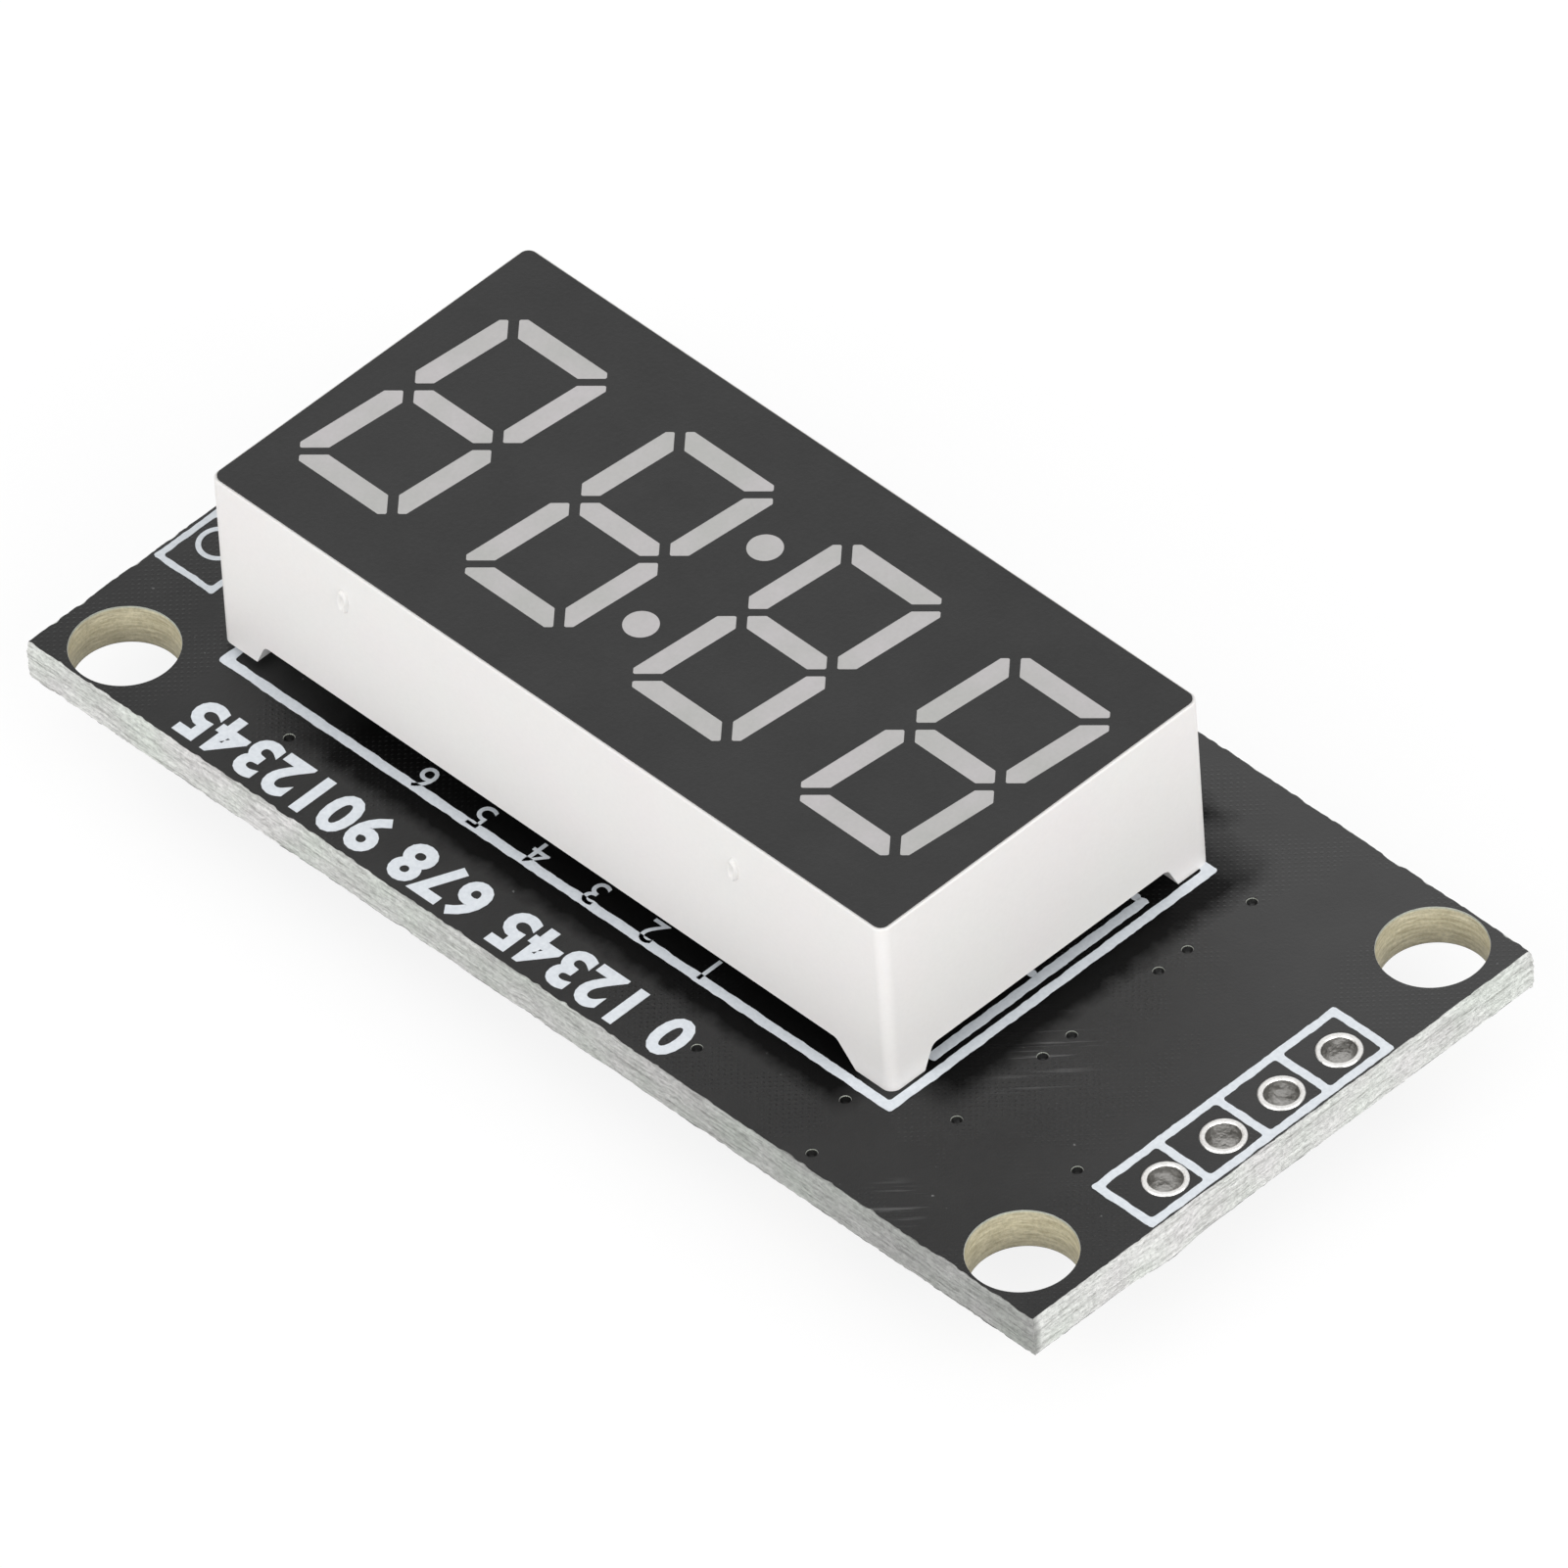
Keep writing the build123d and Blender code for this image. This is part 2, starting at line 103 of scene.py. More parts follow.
# ---------------------------------------------------------------- materials
class Surface:
    """A node material built round one Principled shader, with short names for its steps."""

    def __init__(self, name, **sockets):
        self.material = bpy.data.materials.new(name)
        self.material.use_nodes = True
        self.tree = self.material.node_tree
        self.shader = self.tree.nodes["Principled BSDF"]
        self.coordinates = self.tree.nodes.new("ShaderNodeTexCoord").outputs["Object"]
        for key, value in sockets.items():
            self.shader.inputs[key.replace("_", " ")].default_value = value

    def node(self, kind, links=None, **settings):
        """Adds a node, sets its properties and links or fills its inputs."""
        node = self.tree.nodes.new(kind)
        for key, value in settings.items():
            setattr(node, key, value)
        for key, value in (links or {}).items():
            if isinstance(value, bpy.types.NodeSocket):
                self.tree.links.new(value, node.inputs[key])
            else:
                node.inputs[key].default_value = value
        return node

    def scaled(self, x, y, z):
        """Object coordinates stretched along each axis, in features per millimetre."""
        scale = (x / MM, y / MM, z / MM)
        return self.node("ShaderNodeMapping", {"Vector": self.coordinates, "Scale": scale}).outputs[0]

    def noise(self, x, y=None, z=None, detail=2.0, roughness=0.5, seed=0.0):
        """Noise with so many features per millimetre along each axis."""
        vector = self.scaled(x, x if y is None else y, x if z is None else z)
        links = {"Vector": vector, "W": seed, "Scale": 1.0, "Detail": detail, "Roughness": roughness}
        return self.node("ShaderNodeTexNoise", links, noise_dimensions="4D").outputs["Fac"]

    def ramp(self, factor, *stops):
        """Colour ramp through (position, colour) stops."""
        node = self.node("ShaderNodeValToRGB", {"Fac": factor})
        elements = node.color_ramp.elements
        while len(elements) < len(stops):
            elements.new(0.5)
        for element, (position, colour) in zip(elements, stops):
            element.position = position
            element.color = (*colour, 1.0)
        return node.outputs["Color"]

    def span(self, factor, low, high, to_low=0.0, to_high=1.0):
        """Maps one range on to another, held at its ends."""
        links = {"Value": factor, "From Min": low, "From Max": high, "To Min": to_low, "To Max": to_high}
        return self.node("ShaderNodeMapRange", links).outputs[0]

    def maths(self, operation, first, second=0.0):
        """One arithmetic step."""
        return self.node("ShaderNodeMath", {0: first, 1: second}, operation=operation).outputs[0]

    def mix(self, factor, first, second, blend="MIX"):
        """Mixes two colours."""
        links = {"Factor": factor, 6: first, 7: second}
        node = self.node("ShaderNodeMix", links, data_type="RGBA", blend_type=blend)
        return node.outputs[2]

    def axis(self, name):
        """One object coordinate in millimetres."""
        split = self.node("ShaderNodeSeparateXYZ", {"Vector": self.scaled(1, 1, 1)})
        return split.outputs[name]

    def colour(self, value):
        """Links the base colour."""
        self.tree.links.new(value, self.shader.inputs["Base Color"])

    def rough(self, value):
        """Links the roughness."""
        self.tree.links.new(value, self.shader.inputs["Roughness"])

    def bump(self, *layers):
        """Stacks bumps from (height, depth in millimetres) layers."""
        normal = None
        for height, depth in layers:
            links = {"Height": height, "Distance": depth * MM, "Strength": 1.0}
            if normal:
                links["Normal"] = normal
            normal = self.node("ShaderNodeBump", links).outputs[0]
        self.tree.links.new(normal, self.shader.inputs["Normal"])


def grey(value):
    """A neutral colour."""
    return (value, value, value)


# Where the board is scuffed: middle and reach of each place
SCUFF_PLACES = (((-14.0, 2.6, BOARD_TOP), 2.4), ((-15.6, 10.3, BOARD_TOP), 1.3))
SCUFF_TURN = -0.785


def scuffed_share(surface):
    """Fine slanting scuffs, gathered in two places on the board."""
    here = surface.scaled(1, 1, 1)
    turn = surface.node("ShaderNodeMapping", {"Vector": here, "Rotation": (0, 0, SCUFF_TURN)})
    stretch = surface.node("ShaderNodeMapping", {"Vector": turn.outputs[0], "Scale": (0.35, 7.0, 1.0)})
    links = {"Vector": stretch.outputs[0], "Scale": 1.0, "Detail": 3.0}
    streaks = surface.node("ShaderNodeTexNoise", links).outputs["Fac"]
    near = None
    for place, reach in SCUFF_PLACES:
        links = {0: surface.scaled(1, 1, 1), 1: place}
        away = surface.node("ShaderNodeVectorMath", links, operation="DISTANCE").outputs["Value"]
        inside = surface.span(away, reach, reach * 0.4)
        near = inside if near is None else surface.maths("MAXIMUM", near, inside)
    return surface.maths("MULTIPLY", surface.span(streaks, 0.56, 0.66), near)


# Where painted shade darkens the mask beside the display: low x, high x, high y and low y, each as (outer,
# inner)
SHADE_BAND_BESIDE = ((-11.8, -10.6), (14.4, 11.6), (8.7, 8.05), (-9.2, -8.4))
SHADE_BAND_ENDWAYS = ((-14.2, -13.4), (12.0, 11.0), (6.6, 5.2), (-8.6, -6.6))


def soft_area(surface, x, y, sides):
    """1 inside a rectangle with soft sides, 0 outside it."""
    low_x, high_x, high_y, low_y = sides
    across = surface.maths("MULTIPLY", surface.span(x, *low_x), surface.span(x, *high_x))
    upward = surface.maths("MULTIPLY", surface.span(y, *high_y), surface.span(y, *low_y))
    return surface.maths("MULTIPLY", across, upward)


def solder_mask():
    """Black mask: satin, faintly mottled, with a painted shade band beside the display that is blacker and
    less glossy.
    """
    surface = Surface("solder_mask", IOR=1.5)
    cloud = surface.noise(0.35, detail=4.0)
    grain = surface.noise(9.0, detail=3.0, roughness=0.65)
    ragged = surface.maths("MULTIPLY", surface.maths("SUBTRACT", surface.noise(1.6, detail=4.0), 0.5), 0.8)
    x = surface.maths("ADD", surface.axis("X"), ragged)
    y = surface.maths("ADD", surface.axis("Y"), ragged)
    # Painted shade: a soft band round the display, standing for the shade under the housing's rim and its
    # dark reflection in the mask
    beside = soft_area(surface, x, y, SHADE_BAND_BESIDE)
    endways = soft_area(surface, x, y, SHADE_BAND_ENDWAYS)
    front = surface.span(surface.axis("Z"), 0.4 * BOARD_TOP, 0.6 * BOARD_TOP)
    painted_shade = surface.maths("MULTIPLY", surface.maths("MAXIMUM", beside, endways), front)
    tone = surface.ramp(cloud, (0.3, grey(0.015)), (0.7, grey(0.021)))
    speck = surface.ramp(surface.noise(3.1, detail=1.0, seed=4.0), (0.755, grey(0.0)), (0.79, grey(0.16)))
    scuffs = scuffed_share(surface)
    speckled_tone = surface.mix(1.0, tone, speck, "ADD")
    scuffed = surface.mix(scuffs, speckled_tone, (0.075, 0.075, 0.075, 1.0))
    # In the painted shade band the mask's colour goes almost black
    surface.colour(surface.mix(painted_shade, scuffed, (0.004, 0.004, 0.004, 1.0)))
    surface.rough(surface.span(grain, 0.25, 0.75, 0.30, 0.42))
    across = surface.span(surface.axis("Y"), 10.0, -10.0, 0.28, 0.6)
    # The painted shade band also turns the mask's reflection down
    shine = surface.maths("MULTIPLY", across, surface.span(painted_shade, 0.0, 1.0, 1.0, 0.15))
    surface.tree.links.new(shine, surface.shader.inputs["Specular IOR Level"])
    hatch = surface.maths(
        "MULTIPLY",
        surface.maths("SINE", surface.maths("MULTIPLY", surface.axis("X"), 22.0)),
        surface.maths("SINE", surface.maths("MULTIPLY", surface.axis("Y"), 22.0)),
    )
    patchy = surface.span(surface.noise(0.3, detail=2.0, seed=9.0), 0.5, 0.6)
    dots = surface.maths("MULTIPLY", surface.span(hatch, 0.3, 0.9), patchy)
    surface.bump((grain, 0.012), (dots, 0.016), (cloud, 0.05), (scuffs, 0.03))
    return surface.material


def laminate_edge():
    """Broken board edge: pale fibres running along it, ragged and dusty, with painted shade darkening it
    towards the header end.
    """
    surface = Surface("laminate_edge", IOR=1.45)
    fibre = surface.noise(0.7, 0.7, 11.0, detail=5.0, roughness=0.65)
    dust = surface.noise(5.0, 5.0, 9.0, detail=4.0, roughness=0.7, seed=2.0)
    patch = surface.noise(0.45, detail=2.0, seed=5.0)
    fibres = surface.ramp(
        fibre, (0.30, (0.36, 0.355, 0.34)), (0.43, (0.68, 0.68, 0.67)), (0.6, (0.90, 0.90, 0.89))
    )
    cloudy = surface.ramp(patch, (0.35, (0.93, 0.97, 0.92)), (0.65, (1.0, 0.985, 0.985)))
    tone = surface.mix(1.0, fibres, cloudy, "MULTIPLY")
    dusty = surface.ramp(dust, (0.35, grey(0.66)), (0.58, grey(1.0)))
    # Painted shade: the long edge at high y darkens towards the header end
    towards_header = surface.maths(
        "MULTIPLY",
        surface.span(surface.axis("X"), 14.0, -16.0),
        surface.span(surface.axis("Y"), 10.6, 10.8),
    )
    painted_edge_shade = surface.ramp(towards_header, (0.0, grey(1.0)), (1.0, grey(0.55)))
    surface.colour(surface.mix(1.0, surface.mix(1.0, tone, dusty, "MULTIPLY"), painted_edge_shade, "MULTIPLY"))
    surface.shader.inputs["Roughness"].default_value = 0.85
    surface.bump((fibre, 0.12), (dust, 0.05))
    return surface.material


def laminate_bore():
    """Drilled hole wall: khaki glass cloth in layers, whitish at the mouth."""
    surface = Surface("laminate_bore", IOR=1.5)
    height = surface.axis("Z")
    layer = surface.noise(1.2, 1.2, 9.0, detail=4.0, roughness=0.6)
    grit = surface.noise(9.0, detail=3.0, roughness=0.7, seed=1.0)
    cloth = surface.ramp(layer, (0.3, (0.33, 0.29, 0.18)), (0.7, (0.64, 0.59, 0.42)))
    mouth = surface.span(height, BOARD_TOP - 0.14, BOARD_TOP - 0.05)
    pale = surface.mix(mouth, cloth, (0.42, 0.45, 0.38, 1.0))
    speck = surface.ramp(grit, (0.35, grey(0.8)), (0.65, grey(1.1)))
    surface.colour(surface.mix(1.0, pale, speck, "MULTIPLY"))
    surface.shader.inputs["Roughness"].default_value = 0.6
    surface.bump((layer, 0.04), (grit, 0.015))
    return surface.material


def silkscreen_ink():
    """Cool white ink with a faint grain."""
    surface = Surface("silkscreen_ink", Roughness=0.55, IOR=1.45)
    grain = surface.noise(7.0, detail=3.0)
    surface.colour(surface.ramp(grain, (0.3, (0.66, 0.70, 0.745)), (0.7, (0.76, 0.80, 0.84))))
    surface.bump((grain, 0.01))
    return surface.material


def housing_plastic():
    """Moulded white plastic: warm, satin, faintly blotched pink, with a fine tooth."""
    surface = Surface("housing_plastic", IOR=1.46)
    blotch = surface.noise(0.28, detail=3.0, roughness=0.45)
    fine = surface.noise(7.0, detail=4.0, roughness=0.6, seed=3.0)
    tone = surface.ramp(blotch, (0.35, (0.78, 0.77, 0.752)), (0.72, (0.785, 0.757, 0.75)))
    tooth = surface.ramp(fine, (0.3, grey(0.97)), (0.7, grey(1.0)))
    surface.colour(surface.mix(1.0, tone, tooth, "MULTIPLY"))
    surface.rough(surface.span(fine, 0.3, 0.7, 0.42, 0.55))
    surface.shader.inputs["Subsurface Weight"].default_value = 0.08
    surface.shader.inputs["Subsurface Radius"].default_value = (0.6 * MM, 0.5 * MM, 0.4 * MM)
    surface.bump((fine, 0.006), (blotch, 0.03))
    return surface.material


def face_black():
    """Matte black face with a fine leathery tooth."""
    surface = Surface("face_black", IOR=1.5, Specular_IOR_Level=0.3)
    tooth = surface.noise(6.0, detail=4.0, roughness=0.6)
    cloud = surface.noise(0.5, detail=3.0, seed=6.0)
    surface.colour(surface.ramp(cloud, (0.3, grey(0.0215)), (0.7, grey(0.027))))
    surface.rough(surface.span(tooth, 0.3, 0.7, 0.42, 0.56))
    surface.bump((tooth, 0.02))
    return surface.material


def lens_resin():
    """Milky grey resin, softly shaded from bar to bar."""
    surface = Surface("lens_resin", IOR=1.5, Coat_Weight=0.12, Coat_Roughness=0.25)
    milk = surface.noise(0.5, detail=2.0)
    grain = surface.noise(6.5, detail=3.0, roughness=0.6, seed=2.0)
    tone = surface.ramp(milk, (0.3, (0.445, 0.445, 0.43)), (0.7, (0.51, 0.49, 0.495)))
    grained = surface.ramp(grain, (0.3, grey(0.93)), (0.7, grey(1.0)))
    surface.colour(surface.mix(1.0, tone, grained, "MULTIPLY"))
    surface.rough(surface.span(grain, 0.3, 0.7, 0.38, 0.5))
    surface.bump((grain, 0.012))
    return surface.material


def tinned_metal(name, colour, roughness, ripple_depth):
    """Bright metal with a gently uneven surface."""
    surface = Surface(name, Metallic=1.0, Roughness=roughness)
    flow = surface.noise(2.6, detail=3.0)
    grain = surface.noise(12.0, detail=2.0, seed=7.0)
    dark = tuple(0.8 * value for value in colour)
    surface.colour(surface.ramp(grain, (0.25, dark), (0.6, colour)))
    surface.bump((flow, ripple_depth), (grain, 0.004))
    return surface.material


def speckled(name, low, high, roughness, scale, depth):
    """Plain fine-grained surface between two colours."""
    surface = Surface(name, Roughness=roughness)
    grain = surface.noise(scale, detail=4.0, roughness=0.6)
    surface.colour(surface.ramp(grain, (0.3, low), (0.7, high)))
    surface.bump((grain, depth))
    return surface.material


# Colour, roughness and depth of the unevenness in millimetres
METALS = {
    "tinned_metal": ((0.86, 0.85, 0.83), 0.28, 0.05),
    "pin_metal": ((0.70, 0.69, 0.66), 0.32, 0.01),
    "solder": ((0.74, 0.74, 0.73), 0.2, 0.03),
    # A darker copy of the bright tin for the header hole walls: painted shade inside the holes
    "shaded_barrel_tin": ((0.50, 0.49, 0.47), 0.38, 0.12),
    "bond_gold": ((0.95, 0.72, 0.32), 0.25, 0.0),
}
# Darker and lighter colour, roughness, grains per millimetre and their depth in millimetres
GRAINED = {
    "led_die": ((0.45, 0.36, 0.10), (0.62, 0.50, 0.16), 0.3, 8.0, 0.002),
    "carrier_laminate": ((0.60, 0.60, 0.55), (0.70, 0.69, 0.63), 0.5, 3.0, 0.01),
    "seal_resin": ((0.50, 0.47, 0.42), (0.58, 0.55, 0.50), 0.22, 0.8, 0.05),
    "chip_moulding": (grey(0.012), grey(0.022), 0.62, 9.0, 0.02),
    "resistor_ceramic": (grey(0.010), grey(0.018), 0.35, 5.0, 0.01),
    "capacitor_ceramic": ((0.24, 0.155, 0.09), (0.33, 0.225, 0.14), 0.5, 8.0, 0.01),
}


def make_materials():
    """Every material by name."""
    made = {
        "solder_mask": solder_mask(),
        "laminate_edge": laminate_edge(),
        "laminate_bore": laminate_bore(),
        "silkscreen_ink": silkscreen_ink(),
        "housing_plastic": housing_plastic(),
        "face_black": face_black(),
        "lens_resin": lens_resin(),
    }
    made.update({name: tinned_metal(name, *look) for name, look in METALS.items()})
    made.update({name: speckled(name, *look) for name, look in GRAINED.items()})
    return made


materials = make_materials()


def dress_frame():
    """Gives each carried-over CAD node the material of its slot."""
    for part in frame["record"]["subparts"]:
        mesh = frame["nodes"][part["node"]].data
        mesh.materials.clear()
        mesh.materials.append(materials[part["material_slot"]])


dress_frame()


# ---------------------------------------------------------------- mesh helpers
def finish_piece(mesh, name, slot, *piece_materials, smooth=None):
    """Turns a mesh into a piece that rides with the module; smooth is an angle in degrees."""
    for material in piece_materials:
        mesh.materials.append(material)
    if smooth is not None:
        mesh.shade_smooth()
        mesh.set_sharp_from_angle(angle=math.radians(smooth))
    piece = bpy.data.objects.new(name, mesh)
    bpy.context.scene.collection.objects.link(piece)
    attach(piece, "root")
    return piece


def into_mesh(work, name):
    """Turns finished mesh work into a mesh."""
    mesh = bpy.data.meshes.new(name)
    work.to_mesh(mesh)
    work.free()
    return mesh


WELD_GAP = 1e-4


def welded(mesh):
    """Joins coincident points and makes the normals face out."""
    work = bmesh.new()
    work.from_mesh(mesh)
    bmesh.ops.remove_doubles(work, verts=work.verts, dist=WELD_GAP * MM)
    bmesh.ops.dissolve_degenerate(work, dist=WELD_GAP * MM, edges=work.edges)
    bmesh.ops.recalc_face_normals(work, faces=work.faces)
    work.to_mesh(mesh)
    work.free()
    return mesh


def plate(name, loops, bottom, top):
    """A flat plate between two heights from closed outlines; inner ones are holes."""
    curve = bpy.data.curves.new(name, "CURVE")
    curve.dimensions = "2D"
    curve.fill_mode = "BOTH"
    curve.extrude = (top - bottom) / 2 * MM
    for loop in loops:
        spline = curve.splines.new("POLY")
        spline.points.add(len(loop) - 1)
        for point, (x, y) in zip(spline.points, loop):
            point.co = (x * MM, y * MM, 0, 1)
        spline.use_cyclic_u = True
    holder = bpy.data.objects.new(name, curve)
    mesh = bpy.data.meshes.new_from_object(holder)
    bpy.data.objects.remove(holder)
    bpy.data.curves.remove(curve)
    mesh.transform(Matrix.Translation((0, 0, (bottom + top) / 2 * MM)))
    mesh.name = name
    return welded(mesh)


ROUND_FACETS = 48


def circle(centre, radius, count=ROUND_FACETS):
    """Points round a circle."""
    turns = [2 * math.pi * step / count for step in range(count)]
    return [(centre[0] + radius * math.cos(t), centre[1] + radius * math.sin(t)) for t in turns]


def rectangle(low_x, low_y, high_x, high_y):
    """Corners of a rectangle, counter-clockwise."""
    return [(low_x, low_y), (high_x, low_y), (high_x, high_y), (low_x, high_y)]


def walked(corners, step):
    """Points along a closed outline, each with its distance from the start and outward normal."""
    points = []
    distance = 0.0
    for start, end in zip(corners, corners[1:] + corners[:1]):
        along = Vector(end) - Vector(start)
        length = along.length
        along.normalize()
        outward = Vector((along.y, -along.x))
        count = max(1, round(length / step))
        for index in range(count):
            point = Vector(start) + along * (length * index / count)
            points.append((point, distance + length * index / count, outward))
        distance += length
    return points


def ripple(distance, seed):
    """A smooth wander between about -1 and 1."""
    return noise.noise(Vector((distance, seed * 7.31, seed * 3.7))) * 1.6


INK_STEP = 0.09


def inked(corners, seed, wander=0.018, rounding=0.1):
    """An ink outline: corners rounded off, edges gently wavy."""
    loop = []
    for point, distance, outward in walked(corners, INK_STEP):
        drift = wander * (ripple(distance * 2.2, seed) + 0.6 * ripple(distance * 6.0, seed + 9))
        near = min((Vector(corner) - point).length for corner in corners)
        pull = max(0.0, rounding - near) * 0.5
        centre = sum((Vector(corner) for corner in corners), Vector((0, 0))) / len(corners)
        inward = (centre - point).normalized()
        loop.append(tuple(point + outward * drift + inward * pull))
    return loop


def ink(name, loops, back=False):
    """A printed shape on the board's front or back."""
    if back:
        mesh = plate(name, loops, -INK_THICKNESS, 0.0)
    else:
        mesh = plate(name, loops, BOARD_TOP, BOARD_TOP + INK_THICKNESS)
    finish_piece(mesh, name, "silkscreen_ink", materials["silkscreen_ink"])


def ink_frame(low_x, low_y, high_x, high_y, line, seed):
    """Two loops that bound a printed rectangle's line."""
    half = line / 2
    outer = rectangle(low_x - half, low_y - half, high_x + half, high_y + half)
    inner = rectangle(low_x + half, low_y + half, high_x - half, high_y - half)
    return [inked(outer, seed), inked(inner, seed + 1)]


def ink_text(name, text, size, centre, height, weight, spacing=1.0, back=False):
    """Printed numerals, as raised ink."""
    curve = bpy.data.curves.new(name, "FONT")
    curve.body = text
    curve.size = size * MM
    curve.offset = weight * MM
    curve.space_character = spacing
    curve.resolution_u = 4
    curve.align_x = "CENTER"
    curve.align_y = "CENTER"
    curve.extrude = INK_THICKNESS / 2 * MM
    holder = bpy.data.objects.new(name, curve)
    mesh = bpy.data.meshes.new_from_object(holder)
    bpy.data.objects.remove(holder)
    bpy.data.curves.remove(curve)
    flip = Matrix.Rotation(math.pi, 4, "X") if back else Matrix.Identity(4)
    mesh.transform(Matrix.Translation((centre[0] * MM, centre[1] * MM, height * MM)) @ flip)
    finish_piece(welded(mesh), name, "silkscreen_ink", materials["silkscreen_ink"])


# ---------------------------------------------------------------- circuit board
EDGE_STEP = 0.1
EDGE_LEVELS = 13
EDGE_BEVEL = 0.3
EDGE_BEVEL_DEPTH = 0.05
EDGE_DEEPEST = 0.165
EDGE_SHALLOWEST = 0.004
FIBRE_DEPTH = 0.035
TUFT_DEPTH = 0.022
CHIP_DEPTH = 0.2
MASK_INSET = 0.006
MASK_CHIP_DEPTH = 0.07
# Distances along the outline, from the corner at low x and low y
HEADER_END_START = 112
BURR_DISTANCE = 118.0
BURR_HALF_LENGTH = 1.1
BURR_TOP = 1.3
BURR_DEPTH = 0.16
HEADER_END_INSET = 0.05
FIXING_FACETS = 96
PIN_FACETS = 32
VIA_FACETS = 16
PLUG_FACETS = 20


def edge_inset(distance, height):
    """How far the broken edge lies inside the board's full size, in millimetres."""
    from_face = min(height, BOARD_TOP - height)
    bevel = EDGE_BEVEL_DEPTH * max(0.0, 1 - from_face / EDGE_BEVEL)
    fibre = noise.noise(Vector((distance * 0.8, height * 9.0, 2.0)))
    tuft = noise.noise(Vector((distance * 4.5, height * 6.0, 8.0)))
    chip = max(0.0, noise.noise(Vector((distance * 0.9, height * 0.8, 5.0))) - 0.3)
    inset = bevel + FIBRE_DEPTH * (1 + fibre) + TUFT_DEPTH * (1 + tuft) + CHIP_DEPTH * chip
    if distance > HEADER_END_START:
        low_down = max(0.0, min(1.0, (BURR_TOP - height) / 0.6))
        along_burr = math.exp(-((distance - BURR_DISTANCE) / BURR_HALF_LENGTH) ** 2)
        inset += HEADER_END_INSET - BURR_DEPTH * low_down * along_burr
    return max(EDGE_SHALLOWEST, min(EDGE_DEEPEST, inset))


def drawn_in(inset_at):
    """The board's outline, drawn in at each point by what inset_at says of its distance."""
    corners = rectangle(-BOARD_HALF_X, -BOARD_HALF_Y, BOARD_HALF_X, BOARD_HALF_Y)
    ring = []
    for point, distance, _ in walked(corners, EDGE_STEP):
        inset = inset_at(distance)
        x = math.copysign(min(abs(point.x), BOARD_HALF_X - inset), point.x)
        y = math.copysign(min(abs(point.y), BOARD_HALF_Y - inset), point.y)
        ring.append((x, y))
    return ring


def edge_ring(height):
    """The broken outline at one height."""
    return drawn_in(lambda distance: edge_inset(distance, height))


def add_wall(work, loops):
    """Joins closed loops of (x, y, z) points, in millimetres, into a wall."""
    rings = [[work.verts.new([value * MM for value in point]) for point in loop] for loop in loops]
    faces = []
    for lower, upper in zip(rings, rings[1:]):
        for index in range(len(lower)):
            after = (index + 1) % len(lower)
            faces.append(work.faces.new((lower[index], lower[after], upper[after], upper[index])))
    return faces


def drill_holes():
    """Every hole through the board: centre, radius and facets."""
    holes = [(spot, FIXING_RADIUS, FIXING_FACETS) for spot in FIXING_SPOTS]
    holes += [(spot, HEADER_RADIUS, ROUND_FACETS) for spot in HEADER_SPOTS]
    holes += [(spot, PIN_HOLE_RADIUS, PIN_FACETS) for spot in PIN_SPOTS]
    holes += [(spot, VIA_RADIUS, VIA_FACETS) for spot in VIA_SPOTS]
    return holes


def board_laminate():
    """Laminate body: fibrous broken edges all round and drilled bores."""
    low = MASK_THICKNESS
    high = BOARD_TOP - MASK_THICKNESS
    heights = [low + (high - low) * level / (EDGE_LEVELS - 1) for level in range(EDGE_LEVELS)]
    rings = [edge_ring(height) for height in heights]
    work = bmesh.new()
    add_wall(work, [[(x, y, z) for x, y in ring] for ring, z in zip(rings, heights)])
    bores = [circle(spot, radius, facets) for spot, radius, facets in drill_holes()]
    for bore in bores:
        for face in add_wall(work, [[(x, y, z) for x, y in bore] for z in (low, high)]):
            face.material_index = 1
            face.smooth = True
    for ring, height in ((rings[0], low), (rings[-1], high)):
        cap = plate("cap", [ring, *bores], height, height)
        work.from_mesh(cap)
        bpy.data.meshes.remove(cap)
    mesh = welded(into_mesh(work, "board_laminate"))
    edge_and_bore = (materials["laminate_edge"], materials["laminate_bore"])
    piece = finish_piece(mesh, "board_laminate", "bare_laminate", *edge_and_bore)
    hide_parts("circuit_board")


def mask_outline(height):
    """The mask's outline: a little inside the broken edge, with a few chips out of it."""

    def inset_at(distance):
        chips = MASK_CHIP_DEPTH * max(0.0, ripple(distance * 3.0, 4))
        return min(edge_inset(distance, height) + MASK_INSET + chips, EDGE_DEEPEST + 0.01)

    return drawn_in(inset_at)


def mask_sheets():
    """Solder mask on both faces."""
    for name, bottom in (("mask_front", BOARD_TOP - MASK_THICKNESS), ("mask_back", 0.0)):
        loops = [mask_outline(bottom)]
        for spot, radius, facets in drill_holes():
            loops.append(circle(spot, radius + MASK_CLEARANCE, facets))
        mesh = plate(name, loops, bottom, bottom + MASK_THICKNESS)
        finish_piece(mesh, name, "solder_mask", materials["solder_mask"])


def lathed(work, profile, spot, facets):
    """Adds a turned solid from (radius, height) points, closed on its axis."""
    rings = []
    for radius, height in profile:
        points = circle(spot, radius, facets) if radius else [spot]
        rings.append([work.verts.new((x * MM, y * MM, height * MM)) for x, y in points])
    for first, second in zip(rings, rings[1:]):
        for index in range(facets):
            after = (index + 1) % facets
            corners = [
                first[index % len(first)], first[after % len(first)],
                second[after % len(second)], second[index % len(second)],
            ]
            unique = list(dict.fromkeys(corners))
            if len(unique) > 2:
                work.faces.new(unique)


